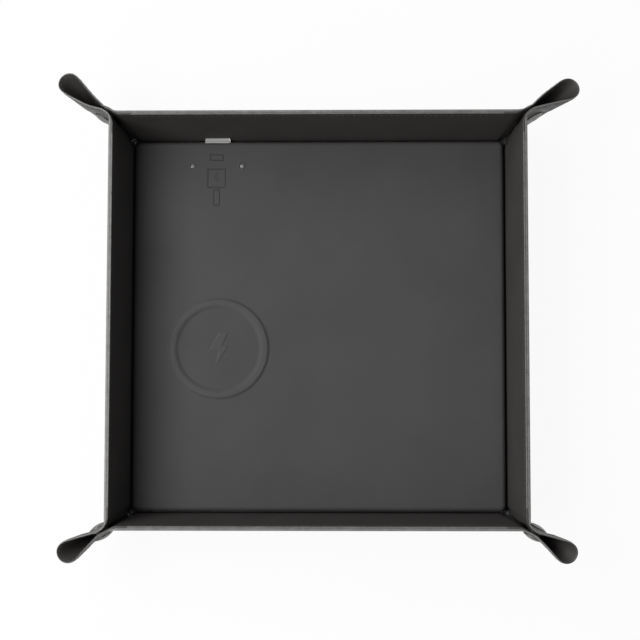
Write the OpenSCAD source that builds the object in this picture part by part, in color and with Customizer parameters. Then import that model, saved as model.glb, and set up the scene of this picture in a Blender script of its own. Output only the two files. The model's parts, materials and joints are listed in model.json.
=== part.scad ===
// Snap-corner leather tray with a charging spot in its floor.
// The origin is the centre of the base on the table, +Z is up, +Y is the back, where the inlet is.
// Four stiffened leather walls lean out from a board-stiffened base. At each corner the leather is
// pinched into two layers by a press stud, and runs on past the stud as a teardrop loop.
// Each wall, each pinched layer and each half of a loop is a piece of its own, so that the tray
// can be opened out flat.

/* [Base] */
// Side of the square base panel
base_side = 208; // [160:1:280]
// Height of the tray floor above the table
floor_z = 8; // [7.6:0.1:12]
// Corner radius of the base panel
base_corner_r = 3; // [1:0.5:8]

/* [Walls] */
// Height of a wall, measured along its slope
wall_height = 45; // [38:0.5:60]
// Outward lean of the walls from upright, in degrees
wall_lean = 10; // [6:0.5:14]
// Gap between the base edge and the foot of a wall's inner face
groove = 0.4; // [0.3:0.05:1]

/* [Leather] */
// Thickness of the outer leather
skin_t = 0.8; // [0.6:0.05:1.1]
// Thickness of the inner lining
lining_t = 0.6; // [0.4:0.05:0.9]
// Thickness of the stiffener board in a wall
wall_board_t = 1.1; // [0.8:0.05:1.6]
// Half of the slit between two pieces at a fold line
fold_gap = 0.35; // [0.3:0.05:0.5]

/* [Corner ears] */
// Direction in which an ear points, in degrees from the side-to-side axis
ear_azimuth = 30; // [26:1:45]
// Corner radius of the flat leather sheet
sheet_corner_r = 12; // [6:0.5:16]
// Part of the ear, in degrees about the floor corner, that stays pinched
pinch_angle = 6; // [4:0.5:9]
// Slope at which the pinched layers spread into the loop, in degrees
flare_slope = 18; // [14:1:22]
// Distance of a pinched layer's fold line from the pinch plane
pinch_half_gap = 1.1; // [1:0.05:1.6]

/* [Press studs] */
// Diameter of the domed caps
cap_d = 11; // [9:0.5:12.5]
// Height of a domed cap
cap_h = 1.6; // [1.2:0.1:2.2]
// Diameter of the posts that run through the leather
post_d = 2.6; // [2:0.1:3.4]
// Diameter of the stud's knob
knob_d = 3.6; // [3:0.1:4.4]
// Outer diameter of the socket
socket_d = 9; // [7.5:0.1:10]
// Thickness of the socket
socket_t = 1.3; // [1.1:0.05:1.8]
// Thickness of the stud's flange
flange_t = 0.8; // [0.6:0.05:1.2]
// Distance of the stud's centre out from the corner line
stud_out = 7; // [6.5:0.1:8.5]
// Distance of the stud's centre up the corner line
stud_up = 32; // [28:0.5:36]
// Clearance of loose metal parts in the stud
stud_clear = 0.3; // [0.2:0.05:0.4]

/* [Charger] */
// Outer diameter of the raised ring in the floor
ring_od = 57; // [50:0.5:64]
// Width of the raised ring
ring_w = 5.5; // [4:0.5:8]
// Height of the raised ring above the floor
ring_h = 1.1; // [0.6:0.1:1.6]
// Side-to-side place of the ring's centre
charger_x = -56; // [-62:0.5:-45]
// Front-to-back place of the ring's centre
charger_y = -13.5; // [-30:0.5:10]
// Wall thickness of the charger's housing
housing_t = 0.8; // [0.6:0.05:1.2]
// Outer diameter of the charging coil
coil_od = 43; // [38:0.5:50]
// Inner diameter of the charging coil
coil_id = 20; // [16:0.5:24]
// Thickness of the charging coil
coil_t = 1; // [0.7:0.05:1.4]
// Thickness of the ferrite disc under the coil
ferrite_t = 0.6; // [0.4:0.05:1]
// Thickness of the circuit boards
circuit_t = 0.8; // [0.6:0.05:1]

/* [Inlet] */
// Side-to-side place of the inlet
inlet_x = -57.5; // [-64:0.5:-48]
// Width of the inlet's housing
inlet_w = 13.8; // [13:0.1:16]
// Length of the inlet's housing inside the base
inlet_l = 24; // [20:0.5:30]
// Width of the inlet's metal shell
shell_w = 8.9; // [8.6:0.05:9.2]
// Height of the inlet's metal shell
shell_h = 3.2; // [3:0.05:3.4]
// Length of the inlet's metal shell
shell_l = 7.6; // [6.5:0.1:9]
// Thickness of the inlet's metal shell
shell_t = 0.3; // [0.25:0.05:0.4]

/* [Floor marks] */
// Depth of the pressed plug pictogram, and height of the raised bolt
mark_depth = 0.25; // [0.15:0.05:0.35]
// Distance of the status lights to each side of the inlet's centre
light_spread = 14; // [10:0.5:18]
// Distance of the status lights from the back edge of the base
light_back = 14; // [10:0.5:20]
// Diameter of the status lights
light_d = 2.4; // [1.8:0.1:3]

/* [Hidden] */
CORNERS = ["back_left", "back_right", "front_left", "front_right"];
WALLS = ["back", "front", "left", "right"];

leather_colour = [0.13, 0.12, 0.12];
lining_colour = [0.22, 0.22, 0.22];
board_colour = [0.45, 0.38, 0.3];
nickel_colour = [0.75, 0.74, 0.72];
plastic_colour = [0.16, 0.16, 0.17];
pale_colour = [0.6, 0.6, 0.58];
copper_colour = [0.72, 0.42, 0.22];
circuit_colour = [0.1, 0.32, 0.2];

// The hinge of a wall runs inside the leather at the table, just outside the base edge.
hinge_outer = 0.5;
wall_inner = skin_t - hinge_outer + wall_board_t + lining_t;
hinge_z = hinge_outer;
hinge_half = base_side / 2 + groove + wall_inner;
base_half = base_side / 2;
board_z = skin_t;
board_top = floor_z - lining_t;

// The corner line is where the hinge planes of two neighbouring walls meet. It leaves the hinge
// corner in this direction, and in each wall's own plane it leans out by corner_lean.
corner_line = unit([tan(wall_lean), tan(wall_lean), 1]);
corner_lean = atan(sin(wall_lean));
ear_total = 45 - corner_lean;
ear_heading = [cos(ear_azimuth), sin(ear_azimuth), 0];
ear_out = unit(ear_heading - (ear_heading * corner_line) * corner_line);
ear_side = cross(corner_line, ear_out);
end_wall_dir = unit([1, 0, 0] - corner_line[0] * corner_line);
side_wall_dir = unit([0, 1, 0] - corner_line[1] * corner_line);
end_bend = acos(end_wall_dir * ear_out);
side_bend = acos(side_wall_dir * ear_out);
end_fold = pinch_half_gap / sin(end_bend);
side_fold = pinch_half_gap / sin(side_bend);

// Angles about the floor corner: the flare and the loop share what the pinch leaves, and the
// loop turns far enough to meet its other half square to the pinch plane.
loop_turn = 90 + flare_slope;
flare_angle = (ear_total - pinch_angle) / (1 + tan(flare_slope) * loop_turn * PI / 180);
loop_angle_r = flare_angle * tan(flare_slope);
loop_start = pinch_angle + flare_angle;
ear_slit = 0.15;
foot_share = 0.14;
spread_power = 1.5;

// At the press stud the two layers lie apart by the stud and the socket.
lining_side = skin_t + lining_t - hinge_outer;
stack_gap = 0.3;
stud_lining_y = (socket_t + flange_t + stack_gap) / 2;
stud_layer_y = stud_lining_y + lining_side;
stud_lift = stud_layer_y - pinch_half_gap;
flat_r = cap_d / 2 + 0.2;
fade_r = flat_r + 4.5;
lift_angle = 3.5;
knob_h = socket_t + stack_gap - 0.6;
hole_d = post_d + 0.3;
cap_seat = 0.12;

// Places and heights inside the base
seat_gap = 0.1;
side_gap = 0.2;
pocket_d = ring_od + 7;
pocket_z = board_z + 0.6;
cup_d = pocket_d - 0.6;
cup_inner_r = cup_d / 2 - housing_t;
cover_t = 0.8;
cover_z = board_top - cover_t;
coil_z = cover_z - seat_gap - coil_t;
ferrite_z = coil_z - ferrite_t;
boss_h = 0.4;
circuit_z = pocket_z + housing_t + boss_h;
ring_r = ring_od / 2;
drop_y = coil_od / 2 + 2.6;
inlet_top = floor_z + 0.2;
inlet_end = hinge_half + 0.6;
inlet_wall = 0.8;
inlet_in = base_half - inlet_l;
inlet_circuit_z = pocket_z + inlet_wall + seat_gap;
shell_z = inlet_circuit_z + circuit_t;
shell_end = inlet_end - 0.2;
window_gap = 0.7;
window_top = norm([inlet_end - hinge_half, inlet_top - hinge_z]) + 1.1;
wire_d = 1.2;
wire_gap = 0.4;
wire_z = circuit_z + circuit_t;
screw_d = 2;
screw_head_d = screw_d + 1.4;
screw_head_h = 0.6;
screw_side = 13;
screw_back = coil_od / 2 - 5.5;
guide_z = board_z + 1;
guide_bar_h = 2;
guide_y = base_half - light_back;

function unit(v) = v / norm(v);
function clamp01(t) = max(0, min(1, t));
function smooth(t) = clamp01(t) * clamp01(t) * (3 - 2 * clamp01(t));

// Distance from the hinge corner to the edge of the flat sheet, at an angle from the fold line
function sheet_reach(a) =
    let (t = a + corner_lean, centre = wall_height - sheet_corner_r)
    wall_height * tan(t) <= centre
        ? wall_height / cos(t)
        : let (b = centre * (sin(t) + cos(t)))
          b + sqrt(max(0, b * b - 2 * centre * centre + sheet_corner_r * sheet_corner_r));

// Where a ruling at angle a lies in the ear: [angle in the pinch plane, angle off it]
function ruling(a) =
    a <= pinch_angle ? [a, 0]
    : a <= loop_start
        ? [pinch_angle + (a - pinch_angle) * cos(flare_slope), (a - pinch_angle) * sin(flare_slope)]
    : let (turned = (a - loop_start) / loop_angle_r * 180 / PI,
           centre = [pinch_angle + flare_angle * cos(flare_slope) + loop_angle_r * sin(flare_slope), 0],
           at = 90 + flare_slope - turned)
      [centre[0] + loop_angle_r * cos(at), loop_angle_r * sin(at)];

// A point of one leather layer in the ear's frame [out, aside, up the corner line], at angle a and
// share v of the way from the floor corner to the rim. fold is the distance of this layer's fold
// line from the corner line, and bend is the angle at which the layer leaves its wall.
function ear_point(a, v, fold, bend) =
    let (r = sheet_reach(a) * v,
         at = ruling(a),
         near = clamp01(1 - a / pinch_angle),
         beside = smooth(a / lift_angle),
         out = r * sin(at[0]) - near * fold * cos(bend),
         up = r * cos(at[0]) - near * fold * tan(corner_lean) * v,
         closing = smooth((a - pinch_angle) / (ear_total - pinch_angle)),
         base = pinch_half_gap + (ear_slit - pinch_half_gap) * closing,
         spread = r * sin(at[1]) * pow(v, spread_power - 1),
         lifted = smooth((fade_r - norm([out - stud_out, up - stud_up])) / (fade_r - flat_r)) * beside,
         aside = base + spread)
    [out, aside + (stud_layer_y - aside) * lifted, up];

// The same point moved off the layer by d, towards the outer leather
function ear_offset(a, v, fold, bend, d) =
    let (step = 0.2,
         da = ear_point(a + step, v, fold, bend) - ear_point(a - step, v, fold, bend),
         dv = ear_point(a, v + step / 50, fold, bend) - ear_point(a, v - step / 50, fold, bend),
         away = unit(cross(dv, da)),
         thin = min(1, v / 0.5))
    ear_point(a, v, fold, bend) + away * d * thin;

// A closed shell between the outer and the inner face of a layer, over a grid of angles and shares
module ear_shell(angles, shares, fold, bend) {
    rows = len(angles);
    cols = len(shares);
    outer = [for (a = angles, v = shares) ear_offset(a, v, fold, bend, hinge_outer)];
    inner = [for (a = angles, v = shares) ear_offset(a, v, fold, bend, -lining_side)];
    half = rows * cols;
    cells = [for (i = [0 : rows - 2], j = [0 : cols - 2]) i * cols + j];
    top_faces = [for (c = cells) each [[c, c + 1, c + cols + 1], [c, c + cols + 1, c + cols]]];
    low_faces = [for (f = top_faces) [f[2] + half, f[1] + half, f[0] + half]];
    rim = concat(
        [for (i = [0 : rows - 2]) [(i + 1) * cols, i * cols]],
        [for (i = [0 : rows - 2]) [i * cols + cols - 1, (i + 1) * cols + cols - 1]],
        [for (j = [0 : cols - 2]) [j, j + 1]],
        [for (j = [0 : cols - 2]) [(rows - 1) * cols + j + 1, (rows - 1) * cols + j]]
    );
    side_faces = [for (e = rim) each [[e[1], e[0], e[0] + half], [e[1], e[0] + half, e[1] + half]]];
    polyhedron(points = concat(outer, inner), faces = concat(top_faces, low_faces, side_faces));
}

// Puts a child drawn for the back right corner at the named corner
module at_corner(corner) {
    left = corner == "back_left" || corner == "front_left";
    front = corner == "front_left" || corner == "front_right";
    mirror([left ? 1 : 0, 0, 0]) mirror([0, front ? 1 : 0, 0]) children();
}

// The ear's frame: x out along the pinch plane, y towards the back wall's layer, z up the corner line
module in_ear() {
    multmatrix([
        [ear_out[0], ear_side[0], corner_line[0], hinge_half],
        [ear_out[1], ear_side[1], corner_line[1], hinge_half],
        [ear_out[2], ear_side[2], corner_line[2], hinge_z],
        [0, 0, 0, 1]
    ]) children();
}

// One layer is drawn with its outer leather towards +y; the layer of the side wall is its mirror.
module in_layer(layer) {
    in_ear() mirror([0, layer == "side" ? 1 : 0, 0]) children();
}

function fold_of(layer) = layer == "side" ? side_fold : end_fold;
function bend_of(layer) = layer == "side" ? side_bend : end_bend;

slit_angle = 0.6;
stud_share = norm([stud_out, stud_up]) / sheet_reach(atan(stud_out / stud_up));
flat_share = flat_r / wall_height;
shares = [
    foot_share, foot_share + 0.14, foot_share + 0.26, stud_share - 2 * flat_share,
    stud_share - flat_share * 1.3, stud_share - flat_share * 0.7, stud_share, stud_share + flat_share * 0.7,
    stud_share + flat_share * 1.3, (1 + stud_share + 2 * flat_share) / 2, 1
];

// Places a round metal piece on the press stud's axis, its z along the axis, outwards
module at_stud(y) {
    translate([stud_out, y, stud_up]) rotate([-90, 0, 0]) children();
}

module flap(corner, layer) {
    steps = 13;
    angles = [for (i = [0 : steps]) slit_angle + (loop_start - slit_angle * 2) * i / steps];
    color(leather_colour)
    at_corner(corner) in_layer(layer)
    difference() {
        ear_shell(angles, shares, fold_of(layer), bend_of(layer));
        at_stud(stud_lining_y - 1) cylinder(h = lining_side + hinge_outer + 2, d = hole_d, $fn = 32);
    }
}

module loop(corner, layer) {
    steps = 8;
    angles = [for (i = [0 : steps]) loop_start + (ear_total - loop_start) * i / steps];
    color(leather_colour)
    at_corner(corner) in_layer(layer)
    ear_shell(angles, shares, fold_of(layer), bend_of(layer));
}

// A domed cap outside the leather, with the post that runs through it
module snap_cap(corner, layer) {
    rim_h = 0.4;
    dome_h = cap_h - rim_h;
    dome_r = (cap_d * cap_d / 4 + dome_h * dome_h) / (2 * dome_h);
    face = stud_layer_y + hinge_outer + cap_seat;
    post_end = stud_lining_y - 0.2;
    color(nickel_colour)
    at_corner(corner) in_layer(layer)
    union() {
        at_stud(face) cylinder(h = rim_h, d = cap_d, $fn = 64);
        at_stud(face)
        intersection() {
            translate([0, 0, cap_h - dome_r]) sphere(r = dome_r, $fn = 96);
            translate([0, 0, rim_h / 2]) cylinder(h = cap_h, d = cap_d, $fn = 64);
        }
        at_stud(post_end) cylinder(h = face - post_end + rim_h / 2, d = post_d, $fn = 32);
    }
}

// The stud sits on the lining of the end wall's layer, its knob towards the socket.
module stud(corner) {
    flange_d = socket_d - 1;
    color(nickel_colour)
    at_corner(corner) in_layer("end")
    difference() {
        union() {
            at_stud(stud_lining_y - flange_t) cylinder(h = flange_t, d = flange_d, $fn = 64);
            at_stud(stud_lining_y - flange_t - knob_h + knob_d / 4)
            cylinder(h = knob_h, d = knob_d, $fn = 48);
            at_stud(stud_lining_y - flange_t - knob_h)
            cylinder(h = knob_h, d1 = knob_d * 0.7, d2 = knob_d, $fn = 48);
        }
        at_stud(stud_lining_y - 0.4) cylinder(h = 1, d = hole_d, $fn = 32);
    }
}

// The socket sits on the lining of the side wall's layer and takes the stud's knob.
module socket(corner) {
    color(nickel_colour)
    at_corner(corner) in_layer("side")
    difference() {
        at_stud(stud_lining_y - socket_t) cylinder(h = socket_t, d = socket_d, $fn = 64);
        at_stud(stud_lining_y - socket_t - 1)
        cylinder(h = socket_t + 2, d = knob_d + 2 * stud_clear, $fn = 48);
    }
}

// A wall's frame: x along the wall, y out through it, z up its slope from the hinge
module at_wall(side) {
    turn = side == "back" ? 0 : side == "front" ? 180 : side == "left" ? 90 : -90;
    rotate([0, 0, turn]) translate([0, hinge_half, hinge_z]) rotate([-wall_lean, 0, 0]) children();
}

// A flat layer of a wall from y_out inwards, between two heights up the slope. inset is its distance
// from the corner line at both ends.
module wall_layer(side, y_out, thick, inset, low, high) {
    shift = inset / cos(corner_lean);
    low_half = hinge_half + low * tan(corner_lean) - shift;
    high_half = hinge_half + high * tan(corner_lean) - shift;
    difference() {
        at_wall(side) translate([0, y_out, 0]) rotate([90, 0, 0])
        linear_extrude(thick)
        polygon([[-low_half, low], [low_half, low], [high_half, high], [-high_half, high]]);
        if (side == "back") at_wall(side) inlet_window();
    }
}

// The window at the foot of the back wall, through which the inlet's housing shows
module inlet_window() {
    half_w = inlet_w / 2 + window_gap;
    corner_r = 1.5;
    translate([inlet_x, wall_inner, 0]) rotate([90, 0, 0])
    linear_extrude(4 * wall_inner, center = true)
    union() {
        translate([-half_w, -2]) square([2 * half_w, window_top + 2 - corner_r]);
        translate([-half_w + corner_r, -2]) square([2 * (half_w - corner_r), window_top + 2]);
        for (s = [-1, 1])
            translate([s * (half_w - corner_r), window_top - corner_r]) circle(r = corner_r, $fn = 32);
    }
}

lining_inset = wall_inner + 0.6;
board_inset = wall_inner + 4.5;
lip_z = wall_height - skin_t;

// The outer leather of a wall, with its edge turned in over the board at the rim
module wall_skin(side) {
    fold = side == "back" || side == "front" ? end_fold : side_fold;
    color(leather_colour)
    union() {
        wall_layer(side, hinge_outer, skin_t, fold + fold_gap, fold_gap, wall_height);
        wall_layer(side, 0, skin_t - hinge_outer + wall_board_t, board_inset, lip_z, wall_height);
    }
}

module wall_board(side) {
    color(board_colour)
    wall_layer(side, hinge_outer - skin_t, wall_board_t, board_inset, fold_gap, lip_z - seat_gap);
}

module wall_lining(side) {
    color(lining_colour)
    wall_layer(side, hinge_outer - skin_t - wall_board_t, lining_t, lining_inset, fold_gap, wall_height);
}

// A rounded square slab, centred, from z up
module slab(half, r, z, h) {
    translate([0, 0, z])
    linear_extrude(h)
    union() {
        square([2 * half, 2 * (half - r)], center = true);
        square([2 * (half - r), 2 * half], center = true);
        for (x = [-1, 1], y = [-1, 1])
            translate([x * (half - r), y * (half - r)]) circle(r = r, $fn = 48);
    }
}

module bottom_skin() {
    color(leather_colour)
    slab(hinge_half - fold_gap, base_corner_r, 0, skin_t);
}

module at_charger() {
    translate([charger_x, charger_y, 0]) children();
}

// The hollow in the base's back edge that the inlet's housing lies in
module inlet_pocket() {
    translate([inlet_x - inlet_w / 2 - side_gap, inlet_in - side_gap, pocket_z])
    cube([inlet_w + 2 * side_gap, inlet_l + 2 * side_gap, floor_z]);
}

// The channel that the two wires run in, straight from the charger's board to the inlet's board
module wire_channel(height) {
    y_low = charger_y + cup_inner_r - 2;
    y_high = inlet_in + inlet_wall + 1;
    width = 2 * wire_d + 2 * wire_gap;
    translate([inlet_x - width / 2, y_low, wire_z - side_gap]) cube([width, y_high - y_low, height]);
}

// The hollow that a light guide lies in, with a gap around the guide
module guide_hollow(side) {
    reach = light_spread + light_d / 2 + side_gap;
    turn = side < 0 ? 180 : 0;
    translate([inlet_x, guide_y, guide_z]) rotate([0, 0, turn]) {
        translate([0, -light_d / 2 - side_gap, 0]) cube([light_spread, light_d + 2 * side_gap, floor_z]);
        translate([reach - light_d / 2 - side_gap, 0, 0])
        cylinder(h = floor_z, d = light_d + 2 * side_gap, $fn = 32);
    }
}

module base_board() {
    color(board_colour)
    difference() {
        slab(base_half, base_corner_r, board_z, board_top - board_z);
        at_charger() translate([0, 0, pocket_z]) cylinder(h = floor_z, d = pocket_d, $fn = 96);
        inlet_pocket();
        wire_channel(floor_z);
        for (side = [-1, 1]) guide_hollow(side);
    }
}

// A bolt of width w and height h, centred
module bolt_mark(w, h) {
    polygon([
        [w * 0.04, h * 0.5], [w * 0.5, h * 0.5], [w * 0.14, h * 0.08], [w * 0.5, h * 0.08],
        [-w * 0.14, -h * 0.5], [w * 0.02, -h * 0.06], [-w * 0.5, -h * 0.06]
    ]);
}

// A rectangle outline of width w, height h and line width t, centred
module frame_mark(w, h, t) {
    difference() {
        square([w, h], center = true);
        square([w - 2 * t, h - 2 * t], center = true);
    }
}

// The plug pictogram pressed into the floor in front of the inlet: tip, body and cable
module plug_mark() {
    line_w = 0.5;
    tip_y = base_half - 8.6;
    body_y = base_half - 20.2;
    cable_y = base_half - 31.2;
    translate([inlet_x, 0]) {
        translate([0, tip_y]) frame_mark(7.7, 3.7, line_w);
        translate([0, body_y]) frame_mark(10.4, 11.2, line_w);
        translate([0, body_y]) bolt_mark(3.4, 7.2);
        translate([0, cable_y]) frame_mark(3.7, 9.6, line_w);
    }
}

module floor_lining() {
    bolt_w = 10.5;
    bolt_h = 18.2;
    color(lining_colour)
    difference() {
        union() {
            slab(base_half, base_corner_r, board_top, lining_t);
            at_charger() translate([0, 0, board_top])
            difference() {
                cylinder(h = lining_t + ring_h, r = ring_r, $fn = 96);
                translate([0, 0, -1]) cylinder(h = lining_t + ring_h + 2, r = ring_r - ring_w, $fn = 96);
            }
            at_charger() translate([0, 0, board_top + lining_t / 2])
            linear_extrude(lining_t / 2 + mark_depth) bolt_mark(bolt_w, bolt_h);
        }
        at_charger() translate([0, 0, board_top - 1])
        difference() {
            cylinder(h = ring_h + 1, r = ring_r - lining_t, $fn = 96);
            translate([0, 0, -1]) cylinder(h = ring_h + 3, r = ring_r - ring_w + lining_t, $fn = 96);
        }
        translate([0, 0, floor_z - mark_depth]) linear_extrude(1) plug_mark();
        for (side = [-1, 1])
            translate([inlet_x + side * light_spread, guide_y, board_top - 1])
            cylinder(h = 3, d = light_d + side_gap, $fn = 32);
    }
}

// The charger's round housing is an open cup in the base board's pocket, with two bosses that its
// circuit board is screwed down on.
module charger_housing() {
    color(plastic_colour)
    difference() {
        union() {
            difference() {
                at_charger() translate([0, 0, pocket_z])
                cylinder(h = cover_z - pocket_z, d = cup_d, $fn = 96);
                at_charger() translate([0, 0, pocket_z + housing_t])
                cylinder(h = floor_z, r = cup_inner_r, $fn = 96);
            }
            at_screws() translate([0, 0, pocket_z + housing_t / 2])
            cylinder(h = boss_h + housing_t / 2, d = screw_head_d, $fn = 32);
        }
        at_screws() translate([0, 0, pocket_z + housing_t / 2]) cylinder(h = floor_z, d = screw_d, $fn = 32);
        wire_channel(wire_d + 2 * side_gap);
    }
}

module at_screws() {
    at_charger() for (x = [-screw_side, screw_side]) translate([x, -screw_back, 0]) children();
}

// The cover closes the cup, and its rib raises the lining into the ring.
module charger_cover() {
    rib_outer = ring_r - lining_t - seat_gap;
    rib_inner = ring_r - ring_w + lining_t + seat_gap;
    color(plastic_colour)
    at_charger()
    union() {
        translate([0, 0, cover_z]) cylinder(h = cover_t, d = cup_d, $fn = 96);
        translate([0, 0, board_top - cover_t / 2])
        difference() {
            cylinder(h = cover_t / 2 + ring_h - seat_gap, r = rib_outer, $fn = 96);
            translate([0, 0, -1]) cylinder(h = cover_t + ring_h + 2, r = rib_inner, $fn = 96);
        }
    }
}

module ferrite_shield() {
    color([0.2, 0.2, 0.22])
    at_charger() translate([0, 0, ferrite_z]) cylinder(h = ferrite_t, d = coil_od + 4, $fn = 96);
}

module charging_coil() {
    color(copper_colour)
    at_charger() translate([0, 0, coil_z])
    difference() {
        cylinder(h = coil_t, d = coil_od, $fn = 96);
        translate([0, 0, -1]) cylinder(h = coil_t + 2, d = coil_id, $fn = 96);
    }
}

// The charger's circuit board lies flat in the cup, with its parts on top.
module charger_board() {
    board_w = 32;
    low_y = -screw_back - 4;
    high_y = drop_y + 1.5;
    chip_h = min(1.1, ferrite_z - circuit_z - circuit_t - seat_gap);
    color(circuit_colour)
    difference() {
        at_charger()
        union() {
            intersection() {
                translate([-board_w / 2, low_y, circuit_z]) cube([board_w, high_y - low_y, circuit_t]);
                cylinder(h = floor_z, r = cup_inner_r - side_gap, $fn = 96);
            }
            for (x = [-11, -3, 5])
                translate([x, -10, circuit_z + circuit_t / 2]) cube([5, 5, chip_h + circuit_t / 2]);
            translate([-10, 2, circuit_z + circuit_t / 2]) cube([7, 7, chip_h * 0.8 + circuit_t / 2]);
        }
        at_screws() translate([0, 0, circuit_z - 1])
        cylinder(h = circuit_t + 2, d = screw_d + side_gap, $fn = 32);
    }
}

// Two short leads from the coil out past the ferrite's edge and down to the circuit board
module coil_leads() {
    lead_d = coil_t * 0.9;
    level = coil_z + coil_t / 2;
    foot = circuit_z + circuit_t;
    color(copper_colour)
    at_charger()
    for (x = [8, 11]) {
        start = sqrt(coil_od * coil_od / 4 - x * x) + side_gap;
        union() {
            translate([x, drop_y, foot]) cylinder(h = level - foot, d = lead_d, $fn = 24);
            translate([x, start, level]) rotate([-90, 0, 0])
            cylinder(h = drop_y - start, d = lead_d, $fn = 24);
            translate([x, drop_y, level]) sphere(d = lead_d, $fn = 24);
        }
    }
}

// The pale housing of the inlet lies under the lining at the base's back edge. Outside the edge it
// rises to the floor's height and reaches through the wall's window.
module inlet_housing() {
    corner_r = 2.5;
    half_w = inlet_w / 2;
    length = inlet_end - inlet_in;
    body_top = board_top - seat_gap;
    front_wall = inlet_wall + 0.7;
    inner_h = body_top - pocket_z - 2 * inlet_wall;
    mouth_gap = 0.1;
    color(pale_colour)
    difference() {
        translate([inlet_x, inlet_in, pocket_z])
        linear_extrude(inlet_top - pocket_z)
        union() {
            translate([-half_w, 0]) square([inlet_w, length - corner_r]);
            translate([-half_w + corner_r, 0]) square([inlet_w - 2 * corner_r, length]);
            for (side = [-1, 1])
                translate([side * (half_w - corner_r), length - corner_r]) circle(r = corner_r, $fn = 48);
        }
        translate([inlet_x - inlet_w, inlet_in - 1, body_top])
        cube([2 * inlet_w, inlet_l + 1 + side_gap, floor_z]);
        translate([inlet_x - half_w + inlet_wall, inlet_in + inlet_wall, pocket_z + inlet_wall])
        cube([inlet_w - 2 * inlet_wall, length - inlet_wall - front_wall, inner_h]);
        translate([inlet_x, inlet_end, shell_z + shell_h / 2]) rotate([90, 0, 0])
        linear_extrude(4 * front_wall, center = true) stadium(shell_w + mouth_gap, shell_h + mouth_gap);
        wire_channel(wire_d + 2 * side_gap);
    }
}

module stadium(w, h) {
    union() {
        square([w - h, h], center = true);
        for (side = [-1, 1]) translate([side * (w - h) / 2, 0]) circle(d = h, $fn = 32);
    }
}

module inlet_shell() {
    color(nickel_colour)
    translate([inlet_x, shell_end, shell_z + shell_h / 2]) rotate([90, 0, 0])
    difference() {
        linear_extrude(shell_l) stadium(shell_w, shell_h);
        translate([0, 0, -1]) linear_extrude(shell_l + 1 - shell_t)
        stadium(shell_w - 2 * shell_t, shell_h - 2 * shell_t);
    }
}

// The tongue stands out from the shell's closed back towards its mouth.
module inlet_tongue() {
    tongue_w = 6.7;
    tongue_t = 0.7;
    back_y = shell_end - shell_l + shell_t;
    color(plastic_colour)
    translate([inlet_x - tongue_w / 2, back_y, shell_z + (shell_h - tongue_t) / 2])
    cube([tongue_w, shell_l - shell_t - 1, tongue_t]);
}

// The inlet's circuit board lies in its housing, under the shell.
module inlet_board() {
    low_y = inlet_in + inlet_wall + side_gap;
    high_y = inlet_end - inlet_wall - 0.9;
    half_w = inlet_w / 2 - inlet_wall - side_gap;
    chip = 4;
    chip_h = 1.1;
    color(circuit_colour)
    translate([inlet_x, low_y, inlet_circuit_z])
    union() {
        translate([-half_w, 0, 0]) cube([2 * half_w, high_y - low_y, circuit_t]);
        translate([-chip / 2, 7, circuit_t / 2]) cube([chip, chip, chip_h + circuit_t / 2]);
    }
}

// Two wires side by side from the charger's board to the inlet's board
module link_lead() {
    y_low = charger_y + cup_inner_r - 8;
    y_high = inlet_in + inlet_wall + 3;
    color(plastic_colour)
    for (side = [-1, 1])
        translate([inlet_x + side * (wire_d / 2 + seat_gap), y_low, wire_z + wire_d / 2]) rotate([-90, 0, 0])
        cylinder(h = y_high - y_low, d = wire_d, $fn = 24);
}

// Two clear guides that carry the status lights from the inlet's housing up into the floor
module light_guides() {
    lens_top = floor_z - 0.15;
    start = inlet_w / 2 + side_gap;
    color(pale_colour)
    for (turn = [0, 180])
        translate([inlet_x, guide_y, guide_z]) rotate([0, 0, turn])
        union() {
            translate([start, -guide_bar_h / 2, 0]) cube([light_spread - start, guide_bar_h, guide_bar_h]);
            translate([light_spread, 0, 0]) cylinder(h = lens_top - guide_z, d = light_d, $fn = 32);
        }
}

// Small screws that hold the charger's board down on the cup's bosses
module module_screws() {
    tip_z = pocket_z + housing_t / 2;
    head_z = circuit_z + circuit_t;
    color(nickel_colour)
    at_screws()
    union() {
        translate([0, 0, tip_z]) cylinder(h = head_z - tip_z, d = screw_d, $fn = 32);
        translate([0, 0, head_z]) cylinder(h = screw_head_h, d = screw_head_d, $fn = 32);
    }
}

bottom_skin();
base_board();
floor_lining();
charger_housing();
charger_cover();
ferrite_shield();
charging_coil();
charger_board();
coil_leads();
inlet_housing();
inlet_shell();
inlet_tongue();
inlet_board();
link_lead();
light_guides();
module_screws();
for (w = WALLS) {
    wall_skin(w);
    wall_board(w);
    wall_lining(w);
}
for (c = CORNERS) {
    flap(c, "end");
    flap(c, "side");
    loop(c, "end");
    loop(c, "side");
    snap_cap(c, "end");
    stud(c);
    snap_cap(c, "side");
    socket(c);
}
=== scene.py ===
"""The looks of a snap-corner leather tray with a charging spot and a power inlet.

Every length is in millimetres until a piece is finished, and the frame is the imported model's:
the base's centre on the table is the origin, +Y is the back and +Z is up.
"""
import json
from math import atan, cos, hypot, pi, radians, sin, sqrt, tan

import bmesh
import bpy
from mathutils import Euler, Matrix, Vector


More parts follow.
